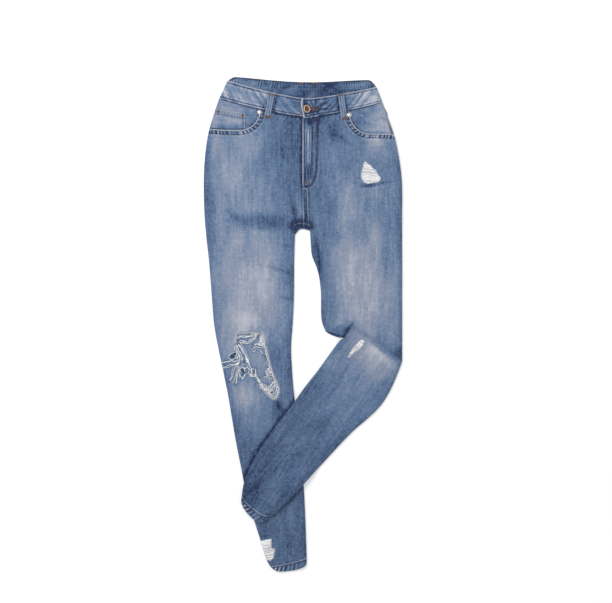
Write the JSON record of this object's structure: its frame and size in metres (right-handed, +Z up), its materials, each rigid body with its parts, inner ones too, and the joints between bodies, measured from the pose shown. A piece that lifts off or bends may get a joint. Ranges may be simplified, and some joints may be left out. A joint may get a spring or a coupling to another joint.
{
  "type": "ripped jeans",
  "caption": "Slim high-rise denim jeans laid flat on their back, with one leg bent across the other, worn patches and a torn knee.",
  "frame": {"origin": "centre of the outline, on the surface that the back of the jeans lies on", "axes": "+Z up out of the front of the jeans, +Y from the hems to the waist, +X towards the wearer's left"},
  "size_m": [0.416, 1.036, 0.0156],
  "materials": {
    "denim": "faded mid-blue twill, worn pale on the thighs",
    "copper": "antique copper",
    "nickel": "bright nickel"
  },
  "bodies": {
    "root": {"front_right": "denim", "front_left": "denim", "back_right": "denim", "back_left": "denim", "knee_fold_left": "denim", "waistband": "denim", "yoke_right": "denim", "yoke_left": "denim", "hip_facing_right": "denim", "hip_facing_left": "denim", "coin_pocket": "denim", "back_pocket_right": "denim", "back_pocket_left": "denim", "loop_front_right": "denim", "loop_front_left": "denim", "loop_side_right": "denim", "loop_side_left": "denim", "loop_back_right": "denim", "loop_back_left": "denim", "button": "copper", "rivet_right": "nickel", "rivet_left": "nickel"}
  },
  "joints": []
}
